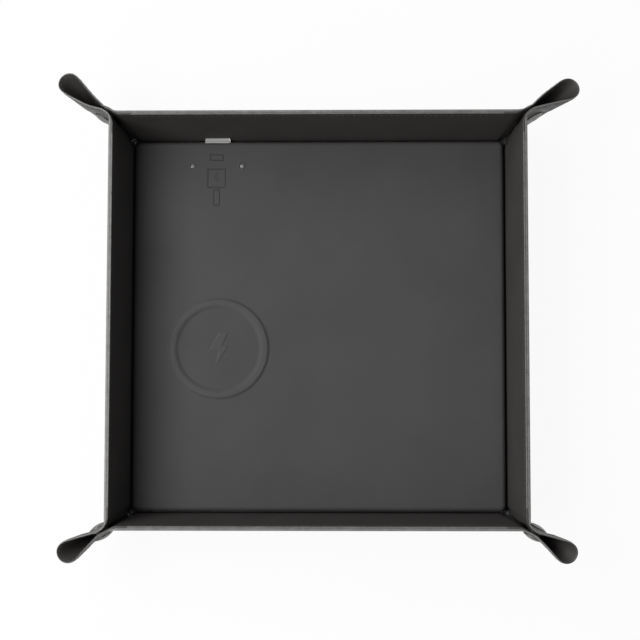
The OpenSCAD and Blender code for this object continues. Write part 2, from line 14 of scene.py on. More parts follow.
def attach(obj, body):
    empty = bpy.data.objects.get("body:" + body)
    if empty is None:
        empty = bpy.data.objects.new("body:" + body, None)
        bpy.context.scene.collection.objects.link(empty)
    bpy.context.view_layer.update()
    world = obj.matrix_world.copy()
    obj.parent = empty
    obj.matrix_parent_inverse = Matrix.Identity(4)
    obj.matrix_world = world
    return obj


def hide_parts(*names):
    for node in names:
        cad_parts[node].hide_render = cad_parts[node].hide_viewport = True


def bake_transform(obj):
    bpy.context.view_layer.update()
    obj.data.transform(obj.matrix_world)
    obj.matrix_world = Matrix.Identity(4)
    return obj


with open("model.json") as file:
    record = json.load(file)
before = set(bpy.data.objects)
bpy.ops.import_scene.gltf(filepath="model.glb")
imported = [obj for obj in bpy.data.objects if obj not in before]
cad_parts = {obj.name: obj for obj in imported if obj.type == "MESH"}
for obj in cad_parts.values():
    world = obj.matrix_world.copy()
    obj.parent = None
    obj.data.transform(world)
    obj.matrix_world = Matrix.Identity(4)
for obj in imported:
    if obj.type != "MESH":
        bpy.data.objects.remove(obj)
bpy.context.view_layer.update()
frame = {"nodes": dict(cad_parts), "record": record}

MM = 0.001

# Base and walls
BASE_HALF = 104.0
FLOOR_Z = 8.0
BASE_CORNER_R = 3.0
WALL_H = 45.0
LEAN = radians(10)
HINGE_HALF = 106.4
HINGE_Z = 0.5

# Leather and lining, as depths from the hinge plane: outwards is positive
SKIN_OUT = 0.5
SKIN_IN = -0.3
BOARD_IN = -1.4
LINING_IN = -2.0
LINING_T = 0.6
EAR_PARING = 0.28

# Corner ears, with angles about the floor corner
AZIMUTH = radians(30)
SHEET_R = 12.0
PINCH = radians(6)
FLARE = radians(18)
PINCH_GAP = 1.1
SPREAD_POWER = 1.5
STUD_OUT = 7.0
STUD_UP = 32.0
STUD_LAYER_Y = 2.1
FLAT_R = 5.7
FADE_R = 10.2
LIFT_ANGLE = radians(3.5)

# How each ear stands off the drawn one at its tip: further out, and round towards the end wall
EAR_SWAY = {
    "back_left": (3.4, 2.6), "back_right": (1.8, -1.2),
    "front_left": (-1.2, 0.5), "front_right": (-1.6, 0.5),
}
TONGUE = 2.4
LOW_TONGUE = 1.7

# Charging spot and inlet
RING = Vector((-56.0, -13.5))
RING_R = 28.5
RING_W = 5.5
RING_H = 0.8
RING_OUTER_SLOPE = 1.3
RING_INNER_SLOPE = 2.6
INLET_X = -57.5
WINDOW_HALF = 7.05
WINDOW_TOP = 8.3
WINDOW_R = 1.5
LIGHT_SPREAD = 14.0
LIGHT_Y = 90.0
LIGHT_R = 1.3

# Places worked out from these
CORNER = Vector((tan(LEAN), tan(LEAN), 1)).normalized()
CORNER_LEAN = atan(sin(LEAN))
EAR_TOTAL = radians(45) - CORNER_LEAN
heading = Vector((cos(AZIMUTH), sin(AZIMUTH), 0))
EAR_OUT = (heading - heading.dot(CORNER) * CORNER).normalized()
EAR_SIDE = CORNER.cross(EAR_OUT)
LOOP_TURN = radians(90) + FLARE
FLARE_ANGLE = (EAR_TOTAL - PINCH) / (1 + tan(FLARE) * LOOP_TURN)
LOOP_R = FLARE_ANGLE * tan(FLARE)
LOOP_START = PINCH + FLARE_ANGLE
SPLIT = LOOP_START - radians(1.5)
FILLET_END = radians(3.5)
WALL_CUT = 12.0
BOARD_CUT = 6.5
FOOT_SHARE = 0.01
EDGE_BAND = 3.0
CORNER_SIGNS = {
    "back_left": (-1, 1), "back_right": (1, 1), "front_left": (-1, -1), "front_right": (1, -1),
}


def clamp(t):
    return max(0.0, min(1.0, t))


def smooth(t):
    t = clamp(t)
    return t * t * (3 - 2 * t)


def spaced(low, high, count):
    return [low + (high - low) * i / count for i in range(count + 1)]


def edge_of_square(point, half, corner_r):
    """Distance of a point inside a rounded square from its outline."""
    dx = abs(point.x) - half + corner_r
    dy = abs(point.y) - half + corner_r
    return corner_r - hypot(max(dx, 0), max(dy, 0)) - min(max(dx, dy), 0)


class Layer:
    """One of the two pinched layers of a corner: the end wall's or the side wall's."""

    def __init__(self, name, wall_axis, sign):
        along = (wall_axis - wall_axis.dot(CORNER) * CORNER).normalized()
        self.name = name
        self.sign = sign
        self.bend = along.angle(EAR_OUT)
        self.fold = PINCH_GAP / sin(self.bend)


END = Layer("end", Vector((1, 0, 0)), 1)
SIDE = Layer("side", Vector((0, 1, 0)), -1)


def sheet_reach(angle):
    """Distance from the floor corner to the rim of the flat sheet."""
    t = angle + CORNER_LEAN
    centre = WALL_H - SHEET_R
    if WALL_H * tan(t) <= centre:
        return WALL_H / cos(t)
    b = centre * (sin(t) + cos(t))
    return b + sqrt(max(0, b * b - 2 * centre * centre + SHEET_R * SHEET_R))


def ruling(angle):
    """Where a ruling of the ear lies: its angle in the pinch plane and its angle off it."""
    if angle <= PINCH:
        return angle, 0.0
    if angle <= LOOP_START:
        return PINCH + (angle - PINCH) * cos(FLARE), (angle - PINCH) * sin(FLARE)
    at = pi / 2 + FLARE - (angle - LOOP_START) / LOOP_R
    centre = PINCH + FLARE_ANGLE * cos(FLARE) + LOOP_R * sin(FLARE)
    return centre + LOOP_R * cos(at), LOOP_R * sin(at)


def ear_point(angle, share, layer):
    """A point of a layer in the ear's frame: out along the pinch plane, aside from it, and up."""
    reach = sheet_reach(angle) * share
    along, off = ruling(angle)
    near = clamp(1 - angle / PINCH)
    out = reach * sin(along) - near * layer.fold * cos(layer.bend)
    up = reach * cos(along) - near * layer.fold * tan(CORNER_LEAN) * share
    closing = smooth((angle - PINCH) / (EAR_TOTAL - PINCH))
    aside = PINCH_GAP * (1 - closing) + reach * sin(off) * share ** (SPREAD_POWER - 1)
    far = hypot(out - STUD_OUT, up - STUD_UP)
    lifted = smooth((FADE_R - far) / (FADE_R - FLAT_R)) * smooth(angle / LIFT_ANGLE)
    return Vector((out, aside + (STUD_LAYER_Y - aside) * lifted, up))


def beside_corner(distance, share, layer):
    """A point of the wall's plane in the ear's frame, at a distance from the corner line."""
    up = share * (WALL_H / cos(CORNER_LEAN) - distance * tan(CORNER_LEAN))
    return Vector((-distance * cos(layer.bend), distance * sin(layer.bend), up))


def share_at(row, angle):
    """Share of the way to the rim: rows 0 to 1 climb to the edge band, 1 to 2 cross it."""
    band = EDGE_BAND / sheet_reach(max(0, angle))
    if row <= 1:
        return FOOT_SHARE + (1 - band - FOOT_SHARE) * row
    return 1 - band * (2 - row)


def edge_distance(row):
    """Distance from the rim for a row, as far as the edge band reaches."""
    return EDGE_BAND * (2 - row) if row > 1 else EDGE_BAND


def fillet_reach(share, layer):
    return (ear_point(FILLET_END, share, layer) - ear_point(0, share, layer)).length


def fold_point(column, row, layer):
    """Columns 0 to 1 lie on the wall, 1 to 2 round the fold and 2 to 3 run out along the ear."""
    if column <= 2:
        share = share_at(row, 0)
        start = layer.fold + fillet_reach(share, layer)
        if column <= 1:
            return beside_corner(WALL_CUT + (start - WALL_CUT) * column, share, layer)
        t = column - 1
        return (
            beside_corner(start, share, layer) * (1 - t) ** 2
            + ear_point(0, share, layer) * 2 * t * (1 - t)
            + ear_point(FILLET_END, share, layer) * t * t
        )
    angle = FILLET_END + (SPLIT - FILLET_END) * (column - 2)
    settle = clamp(column - 2)
    share = share_at(row, 0) * (1 - settle) + share_at(row, angle) * settle
    return ear_point(angle, share, layer)


def loop_point(column, row, layer):
    """Columns 0 to 1 run round half of the loop, from where the fold piece ends to its tip.

    Columns 1 to 2 are the tongue that runs on inside the other half, and near the floor corner
    straight across it, where the loop is too tight to hold a curl.
    """
    if column <= 1:
        angle = SPLIT + (EAR_TOTAL - SPLIT) * column
        return ear_point(angle, share_at(row, angle), layer)
    share = share_at(row, EAR_TOTAL)
    reach = sheet_reach(EAR_TOTAL) * share
    past = column - 1
    straight = ear_point(EAR_TOTAL, share, layer) - Vector((0, past * LOW_TONGUE, 0))
    curled = ear_point(EAR_TOTAL + past * TONGUE / max(18, reach), share, layer)
    return straight.lerp(curled, smooth((reach - 12) / 8))


def corner_distance(column, row, layer):
    """Distance of a point of the fold piece from the corner line, 0 on the ear."""
    start = layer.fold + fillet_reach(share_at(row, 0), layer)
    if column <= 1:
        return WALL_CUT + (start - WALL_CUT) * column
    return max(0, start * (2 - column))


def board_share(column, row, layer):
    """1 where the wall's board lies between leather and lining, 0 where they touch."""
    return smooth((corner_distance(column, row, layer) - 1.5) / (BOARD_CUT - 1.5))


def foot_thinning(column, row, layer):
    """The sheet is drawn thinner where all its folds run together at the floor corner."""
    near_foot = min(1.0, share_at(row, 0) / 0.45)
    on_board = smooth((corner_distance(column, row, layer) - 2.6) / (BOARD_CUT - 3.2))
    return near_foot + (1 - near_foot) * on_board


def rounded(edge, radius):
    """How far a face steps back at a distance from a rounded edge."""
    if edge >= radius:
        return 0.0
    return radius - sqrt(max(0.0, radius * radius - (radius - edge) ** 2))


def pared(edge, board):
    """How much a face is pared down towards the rim, where no board stiffens the ear."""
    return EAR_PARING * smooth(1 - edge / EDGE_BAND) * (1 - board)


def skin_depths(edge, board):
    """Outer and inner depth of the outer leather, whose edge is turned in over the board."""
    outer = SKIN_OUT - rounded(edge, 0.4) - pared(edge, board)
    lip = SKIN_IN - 0.55 * board
    inner = lip + rounded(edge, 0.1) if edge < 0.795 else SKIN_IN
    return outer, inner


def lining_depths(edge, board):
    """Outer and inner depth of the lining, whose edge is turned out to meet the leather's."""
    body = SKIN_IN - (SKIN_IN - BOARD_IN) * board
    lip = SKIN_IN - 0.57 * board
    outer = lip - rounded(edge, 0.1) if edge < 0.795 else body
    inner = body - LINING_T + rounded(edge, 0.4) + pared(edge, board)
    return outer - 0.005, inner


def surface_frame(place, column, row):
    """A point of a surface, the way along its columns and the way out of it."""
    step = 0.004
    along = place(column + step, row) - place(column - step, row)
    up = place(column, row + step) - place(column, row - step)
    return place(column, row), along.normalized(), up.cross(along).normalized()


def leather_slab(columns, rows, place, depths, window=None):
    """A closed slab wrapped on a surface. The faces at the rim get the edge's material."""
    bm = bmesh.new()
    across, high = len(columns) - 1, len(rows) - 1
    bmesh.ops.create_grid(bm, x_segments=across, y_segments=high, size=1)

    def grid_place(co):
        return round((co.x + 1) / 2 * across), round((co.y + 1) / 2 * high)

    if window:
        inside = []
        for face in bm.faces:
            spots = [grid_place(v.co) for v in face.verts]
            middle = [
                (min(values[s[k]] for s in spots) + max(values[s[k]] for s in spots)) / 2
                for k, values in enumerate((columns, rows))
            ]
            if window(*middle):
                inside.append(face)
        bmesh.ops.delete(bm, geom=inside, context="FACES")
    made = bmesh.ops.extrude_face_region(bm, geom=bm.faces[:], use_keep_orig=True)
    inner = {v for v in made["geom"] if isinstance(v, bmesh.types.BMVert)}
    edge_row = {v: rows[grid_place(v.co)[1]] for v in bm.verts}
    known = {}
    for v in bm.verts:
        spot = grid_place(v.co)
        if spot not in known:
            column, row = columns[spot[0]], rows[spot[1]]
            known[spot] = (surface_frame(place, column, row), depths(column, row))
        (point, _, out), (outer_depth, inner_depth) = known[spot]
        v.co = point + out * (inner_depth if v in inner else outer_depth)
    for face in bm.faces:
        face.smooth = True
        # Rim faces take material 1, which on the leather and the wall lining is a painted highlight.
        if all(edge_row[v] >= rows[-1] - 0.3 for v in face.verts):
            face.material_index = 1
    bmesh.ops.recalc_face_normals(bm, faces=bm.faces[:])
    return bm


def add_stitches(bm, place, row, depth, start, end, pitch=3.0):
    """Thread that shows as a row of short stitches, half sunk in the surface."""
    steps = 400
    travelled = pitch / 2
    before = place(start, row)
    for i in range(1, steps + 1):
        column = start + (end - start) * i / steps
        here = place(column, row)
        travelled += (here - before).length
        before = here
        if travelled < pitch:
            continue
        travelled -= pitch
        point, along, out = surface_frame(place, column, row)
        side = out.cross(along)
        turned = along * cos(0.12) + side * sin(0.12)
        across = out.cross(turned)
        centre = point + out * depth
        shape = Matrix((turned * 1.05, across * 0.24, out * 0.2)).transposed().to_4x4()
        made = bmesh.ops.create_uvsphere(
            bm, u_segments=6, v_segments=5, radius=1,
            matrix=Matrix.Translation(centre) @ shape,
        )
        for v in made["verts"]:
            for face in v.link_faces:
                face.smooth = True
                face.material_index = 2


def finished(bm, name, materials, sharp=45):
    """Makes an object of a bmesh drawn in millimetres."""
    bmesh.ops.scale(bm, vec=(MM, MM, MM), verts=bm.verts[:])
    mesh = bpy.data.meshes.new(name)
    bm.to_mesh(mesh)
    bm.free()
    for material in materials:
        mesh.materials.append(material)
    mesh.set_sharp_from_angle(angle=radians(sharp))
    piece = bpy.data.objects.new(name, mesh)
    bpy.context.scene.collection.objects.link(piece)
    return piece


# Finishes

def new_finish(name, colour, roughness, metallic=0.0):
    material = bpy.data.materials.new(name)
    material.use_nodes = True
    shader = material.node_tree.nodes["Principled BSDF"]
    shader.inputs["Base Color"].default_value = (*colour, 1)
    shader.inputs["Roughness"].default_value = roughness
    shader.inputs["Metallic"].default_value = metallic
    return material, shader


def object_place(material):
    return material.node_tree.nodes.new("ShaderNodeTexCoord").outputs["Object"]


def noise(material, scale, detail=3.0):
    tree = material.node_tree
    node = tree.nodes.new("ShaderNodeTexNoise")
    node.inputs["Scale"].default_value = scale
    node.inputs["Detail"].default_value = detail
    tree.links.new(object_place(material), node.inputs["Vector"])
    return node.outputs["Fac"]


def pebbles(material, scale):
    tree = material.node_tree
    node = tree.nodes.new("ShaderNodeTexVoronoi")
    node.feature = "SMOOTH_F1"
    node.inputs["Scale"].default_value = scale
    tree.links.new(object_place(material), node.inputs["Vector"])
    return node.outputs["Distance"]


def ramp(material, value, low, high, low_in=0.3, high_in=0.7):
    """Turns a pattern's value into a number between low and high."""
    tree = material.node_tree
    node = tree.nodes.new("ShaderNodeMapRange")
    node.inputs["From Min"].default_value = low_in
    node.inputs["From Max"].default_value = high_in
    node.inputs["To Min"].default_value = low
    node.inputs["To Max"].default_value = high
    tree.links.new(value, node.inputs["Value"])
    return node.outputs["Result"]


def mottle(material, shader, value, first, second):
    """Colours the surface between two colours by a pattern."""
    tree = material.node_tree
    mix = tree.nodes.new("ShaderNodeMix")
    mix.data_type = "RGBA"
    mix.inputs["A"].default_value = (*first, 1)
    mix.inputs["B"].default_value = (*second, 1)
    tree.links.new(ramp(material, value, 0, 1), mix.inputs["Factor"])
    tree.links.new(mix.outputs["Result"], shader.inputs["Base Color"])


def relief(material, shader, patterns):
    """Bump from several (pattern, depth in metres) pairs, one after the other."""
    tree = material.node_tree
    normal = None
    for value, depth in patterns:
        bump = tree.nodes.new("ShaderNodeBump")
        bump.inputs["Strength"].default_value = 1.0
        bump.inputs["Distance"].default_value = depth
        tree.links.new(value, bump.inputs["Height"])
        if normal:
            tree.links.new(normal, bump.inputs["Normal"])
        normal = bump.outputs["Normal"]
    tree.links.new(normal, shader.inputs["Normal"])


def grained_leather():
    material, shader = new_finish("grained_leather", (0.05, 0.048, 0.047), 0.5)
    mottle(material, shader, noise(material, 70), (0.042, 0.04, 0.039), (0.062, 0.06, 0.059))
    tree = material.node_tree
    tree.links.new(ramp(material, noise(material, 260), 0.42, 0.58), shader.inputs["Roughness"])
    relief(material, shader, [(pebbles(material, 1500), 0.00008), (noise(material, 500), 0.00005)])
    return material


def floor_suede():
    """Fine nap, with painted shade where a mark is pressed in and a painted highlight where one is raised."""
    material, shader = new_finish("floor_suede", (0.05, 0.05, 0.05), 0.68)
    shader.inputs["Specular IOR Level"].default_value = 0.35
    tree = material.node_tree
    pressed = tree.nodes.new("ShaderNodeAttribute")
    pressed.attribute_name = "relief"
    # The relief attribute sets painted light: painted shade in pressed marks, a painted highlight on the raised ring
    # and bolt.
    tone = tree.nodes.new("ShaderNodeValToRGB")
    tone.color_ramp.elements[0].color = (0.56, 0.56, 0.56, 1)
    tone.color_ramp.elements[1].color = (1.0, 1.0, 1.0, 1)
    plain = tone.color_ramp.elements.new(0.5)
    plain.color = (0.88, 0.88, 0.88, 1)
    tree.links.new(ramp(material, pressed.outputs["Fac"], 0, 1, -1, 1), tone.inputs["Fac"])
    cloth = tree.nodes.new("ShaderNodeMix")
    cloth.data_type = "RGBA"
    cloth.inputs["A"].default_value = (0.053, 0.053, 0.053, 1)
    cloth.inputs["B"].default_value = (0.061, 0.061, 0.061, 1)
    tree.links.new(ramp(material, noise(material, 28), 0, 1), cloth.inputs["Factor"])
    marked = tree.nodes.new("ShaderNodeMix")
    marked.data_type = "RGBA"
    marked.blend_type = "MULTIPLY"
    marked.inputs["Factor"].default_value = 1.0
    tree.links.new(cloth.outputs["Result"], marked.inputs["A"])
    tree.links.new(tone.outputs["Color"], marked.inputs["B"])
    tree.links.new(marked.outputs["Result"], shader.inputs["Base Color"])
    relief(material, shader, [(noise(material, 1600, 2), 0.00005), (noise(material, 130), 0.00006)])
    return material


def wall_suede():
    material, shader = new_finish("wall_suede", (0.042, 0.0385, 0.037), 0.62)
    shader.inputs["Specular IOR Level"].default_value = 0.35
    mottle(material, shader, noise(material, 40), (0.038, 0.0347, 0.0333), (0.047, 0.043, 0.0415))
    relief(material, shader, [(noise(material, 1600, 2), 0.00005), (noise(material, 150), 0.00006)])
    return material


def cut_edge(name, colour):
    """The cut edge of a sheet: a little uneven in tone."""
    material, shader = new_finish(name, colour, 0.45)
    darker = tuple(c * 0.84 for c in colour)
    lighter = tuple(c * 1.16 for c in colour)
    mottle(material, shader, noise(material, 300), darker, lighter)
    relief(material, shader, [(noise(material, 900), 0.00003)])
    return material


def painted_shade_leather():
    """Dull leather, darkened as painted shade, for the patches deep in a fold."""
    material, shader = new_finish("painted_shade_leather", (0.036, 0.0345, 0.0335), 0.8)
    shader.inputs["Specular IOR Level"].default_value = 0.3
    mottle(material, shader, noise(material, 90), (0.031, 0.03, 0.029), (0.042, 0.0405, 0.0395))
    relief(material, shader, [(pebbles(material, 1500), 0.00008)])
    return material


def twisted_thread():
    material, shader = new_finish("twisted_thread", (0.06, 0.058, 0.056), 0.7)
    tree = material.node_tree
    wave = tree.nodes.new("ShaderNodeTexWave")
    wave.bands_direction = "DIAGONAL"
    wave.inputs["Scale"].default_value = 900
    tree.links.new(object_place(material), wave.inputs["Vector"])
    relief(material, shader, [(wave.outputs["Fac"], 0.00006)])
    return material


def satin_nickel():
    material, shader = new_finish("satin_nickel", (0.19, 0.187, 0.182), 0.42, 1.0)
    tree = material.node_tree
    tree.links.new(ramp(material, noise(material, 1200), 0.36, 0.54), shader.inputs["Roughness"])
    relief(material, shader, [(noise(material, 1500, 2), 0.00003)])
    return material


def moulded(name, colour, roughness):
    material, shader = new_finish(name, colour, roughness)
    lighter = tuple(min(1, c * 1.06) for c in colour)
    mottle(material, shader, noise(material, 200), colour, lighter)
    relief(material, shader, [(noise(material, 2500, 1), 0.00001)])
    return material


def clear_lens():
    material, shader = new_finish("clear_lens", (0.3, 0.3, 0.29), 0.12)
    shader.inputs["Transmission Weight"].default_value = 0.35
    shader.inputs["IOR"].default_value = 1.49
    relief(material, shader, [(noise(material, 900, 1), 0.00001)])
    return material


def wound_copper():
    """Enamelled wire, with the coil's turns as rings about its centre."""
    material, shader = new_finish("wound_copper", (0.62, 0.27, 0.12), 0.28, 1.0)
    tree = material.node_tree
    centre = tree.nodes.new("ShaderNodeMapping")
    centre.inputs["Location"].default_value = (-RING.x * MM, -RING.y * MM, 0)
    rings = tree.nodes.new("ShaderNodeTexWave")
    rings.wave_type = "RINGS"
    rings.rings_direction = "Z"
    rings.inputs["Scale"].default_value = 320
    tree.links.new(object_place(material), centre.inputs["Vector"])
    tree.links.new(centre.outputs["Vector"], rings.inputs["Vector"])
    relief(material, shader, [(rings.outputs["Fac"], 0.0003)])
    return material


def pressed_board():
    material, shader = new_finish("pressed_board", (0.07, 0.066, 0.06), 0.85)
    mottle(material, shader, noise(material, 400, 5), (0.05, 0.047, 0.043), (0.09, 0.085, 0.078))
    relief(material, shader, [(noise(material, 1500), 0.00006)])
    return material


LEATHER = grained_leather()
FLOOR_SUEDE_PAINTED_LIGHT = floor_suede()
WALL_SUEDE = wall_suede()
# The light grey of the leather's and the wall lining's rims is a painted highlight, where light catches the rounded
# rim.
LEATHER_RIM_HIGHLIGHT = cut_edge("leather_rim_highlight", (0.17, 0.168, 0.165))
SUEDE_RIM_HIGHLIGHT = cut_edge("suede_rim_highlight", (0.125, 0.122, 0.118))
EAR_EDGE = cut_edge("ear_lining_edge", (0.05, 0.048, 0.046))
# Dark leather as painted shade for the corner knots.
PAINTED_SHADE_LEATHER = painted_shade_leather()
THREAD = twisted_thread()
BOARD = pressed_board()
LENS = clear_lens()
CAD_FINISHES = {
    "outer_leather": LEATHER,
    "lining": WALL_SUEDE,
    "stiff_board": BOARD,
    "nickel": satin_nickel(),
    "dark_plastic": moulded("dark_plastic", (0.05, 0.05, 0.055), 0.45),
    "pale_plastic": moulded("pale_plastic", (0.31, 0.31, 0.302), 0.38),
    "light_lens": LENS,
    "copper": wound_copper(),
    "circuit": moulded("solder_mask", (0.03, 0.16, 0.08), 0.3),
    "ferrite": moulded("ferrite", (0.07, 0.07, 0.075), 0.6),
}


def dress_cad_nodes():
    for subpart in frame["record"]["subparts"]:
        node = frame["nodes"][subpart["node"]]
        finish = CAD_FINISHES[subpart["material_slot"]]
        for holder in node.material_slots:
            holder.material = finish
        if not node.material_slots:
            node.data.materials.append(finish)


# Walls

def wall_matrix(side):
    turn = {"back": 0, "front": 180, "left": 90, "right": -90}[side]
    return Matrix.Rotation(radians(turn), 4, "Z")


def wall_layer_of(side):
    return END if side in ("back", "front") else SIDE


def end_inset(height, layer, least):
    """How far short of the corner line a wall's own piece ends, at a height up its slope."""
    join = layer.fold + 0.1
    low = FOOT_SHARE * WALL_H + join * sin(CORNER_LEAN)
    high = FOOT_SHARE * WALL_H + WALL_CUT * sin(CORNER_LEAN)
    if height <= low:
        inset = 0.05 + (join - 0.05) * clamp(height / low)
    else:
        inset = join + (WALL_CUT - join) * clamp((height - low) / (high - low))
    return max(least, inset)


def wall_end(height, layer, least):
    """Half of the wall's length at a height up its slope, or on the base for a height below 0."""
    if height <= 0:
        return HINGE_HALF + height - 0.05 - max(0, least)
    return HINGE_HALF + height * tan(CORNER_LEAN) - end_inset(height, layer, least) / cos(CORNER_LEAN)


STRAIGHT_HALF = 80.0
STRETCHED = 20.0


def along_wall(column, height, layer, least=0.0):
    """The place along a wall of a column. Columns past 80 are stretched to the wall's ends."""
    end = wall_end(height, layer, least)
    beyond = max(0, abs(column) - STRAIGHT_HALF) / STRETCHED
    x = min(abs(column), STRAIGHT_HALF) + beyond * (end - STRAIGHT_HALF)
    return x if column > 0 else -x


def wall_point(column, height, layer):
    """A point of the hinge plane of the back wall, bent softly at its foot."""
    x = along_wall(column, height, layer)
    turn = 1.2
    foot = Vector((HINGE_HALF + min(height, -turn), HINGE_Z))
    slope = max(height, turn)
    up = Vector((HINGE_HALF + slope * sin(LEAN), HINGE_Z + slope * cos(LEAN)))
    if height <= -turn:
        return Vector((x, foot.x, foot.y))
    if height >= turn:
        return Vector((x, up.x, up.y))
    t = (height + turn) / (2 * turn)
    bent = foot * (1 - t) ** 2 + Vector((HINGE_HALF, HINGE_Z)) * 2 * t * (1 - t) + up * t * t
    return Vector((x, bent.x, bent.y))


def wall_columns(side):
    fine = [INLET_X + s * (WINDOW_HALF + step) for s in (-1, 1)
            for step in (-1.5, -1.1, -0.7, -0.4, -0.2, 0, 0.25, 0.8)]
    plain = [x for x in spaced(-STRAIGHT_HALF, STRAIGHT_HALF, 32)]
    if side == "back":
        plain = [x for x in plain if all(abs(x - f) > 1 for f in fine)] + fine
    ends = [STRAIGHT_HALF + STRETCHED * k for k in (0.2, 0.4, 0.6, 0.8, 0.9, 1)]
    return sorted(plain + ends + [-e for e in ends])


def in_window(x, height):
    """True inside the rounded window at the foot of the back wall."""
    dx = max(0, abs(x - INLET_X) - WINDOW_HALF + WINDOW_R)
    dy = max(0, height - WINDOW_TOP + WINDOW_R)
    return hypot(dx, dy) < WINDOW_R


RIM_EDGES = [3.0, 2.2, 1.4, 0.8, 0.79, 0.4, 0.25, 0.12, 0.04, 0.0]
RIM_ROWS = [2 - e / EDGE_BAND for e in RIM_EDGES]


def wall_edge(height):
    return max(0.0, WALL_H - height)


def wall_leather(side):
    """Outer leather from the base's underside round the fold and up to the turned rim."""
    layer = wall_layer_of(side)
    foot = [-1.6, -1.2, -0.9, -0.6, -0.3, 0, 0.3, 0.6, 0.9, 1.27, 1.6, 2.0, 2.4, 2.96]
    window = [WINDOW_TOP + step for step in (-1.5, -1.1, -0.7, -0.4, -0.2, 0, 0.25)]
    rows = foot + [4.5, 6] + window + spaced(11, 39, 10) + [WALL_H - e for e in RIM_EDGES]

    def place(column, height):
        return wall_point(column, height, layer)

    bm = leather_slab(
        wall_columns(side), rows, place,
        lambda column, height: skin_depths(wall_edge(height), 1),
        window=in_window if side == "back" else None,
    )
    reach = STRAIGHT_HALF + STRETCHED
    add_stitches(bm, place, WALL_H - 2.6, SKIN_OUT + 0.02, -reach, reach)
    bmesh.ops.transform(bm, matrix=wall_matrix(side), verts=bm.verts[:])
    piece = finished(bm, f"{side}_wall_leather", [LEATHER, LEATHER_RIM_HIGHLIGHT, THREAD])
    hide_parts(f"{side}_wall_skin")
    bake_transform(piece)


def wall_lining(side):
    """Inner lining of a wall, turned out over the board at the rim."""
    layer = wall_layer_of(side)
    least = 2.7
    foot = [0.3, 0.5, 0.9, 1.27, 1.6, 2.0, 2.4, 2.96]
    window = [WINDOW_TOP + step for step in (-1.5, -1.1, -0.7, -0.4, -0.2, 0, 0.25)]
    rows = foot + [4.5, 6] + window + spaced(11, 39, 10) + [WALL_H - e for e in RIM_EDGES]

    def place(column, height):
        x = along_wall(column, height, layer, least)
        return Vector((x, HINGE_HALF + height * sin(LEAN), HINGE_Z + height * cos(LEAN)))

    bm = leather_slab(
        wall_columns(side), rows, place,
        lambda column, height: lining_depths(wall_edge(height), 1),
        window=in_window if side == "back" else None,
    )
    reach = STRAIGHT_HALF + STRETCHED
    add_stitches(bm, place, WALL_H - 2.6, LINING_IN - 0.02, -reach, reach)
    bmesh.ops.transform(bm, matrix=wall_matrix(side), verts=bm.verts[:])
    piece = finished(bm, f"{side}_wall_cover", [WALL_SUEDE, SUEDE_RIM_HIGHLIGHT, THREAD])
    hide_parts(f"{side}_wall_lining")
    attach(piece, f"{side}_wall")


def base_leather():
    """Leather under the base, inside the strips that fold up into the walls."""
    half = HINGE_HALF - 1.6
    bm = bmesh.new()
    bmesh.ops.create_cube(bm, size=1)
    bmesh.ops.scale(bm, vec=(2 * half, 2 * half, SKIN_OUT - SKIN_IN), verts=bm.verts[:])
    bmesh.ops.translate(bm, vec=(0, 0, HINGE_Z - (SKIN_OUT + SKIN_IN) / 2), verts=bm.verts[:])
    underside = [f for f in bm.faces if f.normal.z < -0.5]
    inset = bmesh.ops.inset_region(bm, faces=underside, thickness=3.5)
    bmesh.ops.inset_region(bm, faces=underside, thickness=1.2, depth=-0.15)
    for face in inset["faces"]:
        face.smooth = True
    piece = finished(bm, "base_leather", [LEATHER, LEATHER_RIM_HIGHLIGHT, THREAD])
    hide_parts("bottom_skin")
    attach(piece, "base")


def corner_gussets():
    """Leather knots that close the floor corners, where all the folds run together, in leather darkened as painted
    shade.
    """
    for corner, (across, back) in CORNER_SIGNS.items():
        bm = bmesh.new()
        bmesh.ops.create_cone(
            bm, cap_ends=True, segments=24, radius1=1.55, radius2=1.4, depth=0.45,
        )
        ends = {e for f in bm.faces if len(f.verts) > 4 for e in f.edges}
        bmesh.ops.bevel(
            bm, geom=list(ends), offset=0.15, segments=3, profile=0.5, affect="EDGES", material=-1,
        )
        spot = HINGE_HALF - 0.1
        bmesh.ops.translate(bm, vec=(across * spot, back * spot, 0.34), verts=bm.verts[:])
        for face in bm.faces:
            face.smooth = True
        piece = finished(bm, f"{corner}_gusset", [PAINTED_SHADE_LEATHER])
        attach(piece, "base")


def stiff_base():
    """The base's board, its upper edge rounded off so that the lining rolls over it."""
    bm = bmesh.new()
    bm.from_mesh(frame["nodes"]["base_board"].data)
    bmesh.ops.remove_doubles(bm, verts=bm.verts[:], dist=0.000001)
    bmesh.ops.scale(bm, vec=(1 / MM, 1 / MM, 1 / MM), verts=bm.verts[:])
    bmesh.ops.dissolve_limit(bm, angle_limit=radians(0.5), verts=bm.verts[:], edges=bm.edges[:])
    top = max(v.co.z for v in bm.verts)

    def on_top_edge(v):
        return v.co.z > top - 0.01 and edge_of_square(v.co.to_2d(), BASE_HALF, BASE_CORNER_R) < 0.05

    rim = [e for e in bm.edges if all(on_top_edge(v) for v in e.verts)]
    bmesh.ops.bevel(
        bm, geom=rim, offset=2.2, segments=5, profile=0.5, affect="EDGES", material=-1,
    )
    piece = finished(bm, "stiff_base", [BOARD])
    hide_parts("base_board")
    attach(piece, "base")


# Corner ears

LEVELS = spaced(0, 1, 27)
FOLD_COLUMNS = spaced(0, 1, 8) + spaced(1, 2, 9)[1:] + spaced(2, 3, 22)[1:]
LOOP_COLUMNS = spaced(0, 1, 26)
TONGUE_COLUMNS = [1.01] + spaced(1.1, 2, 5)
EAR_ROWS = LEVELS[:-1] + RIM_ROWS


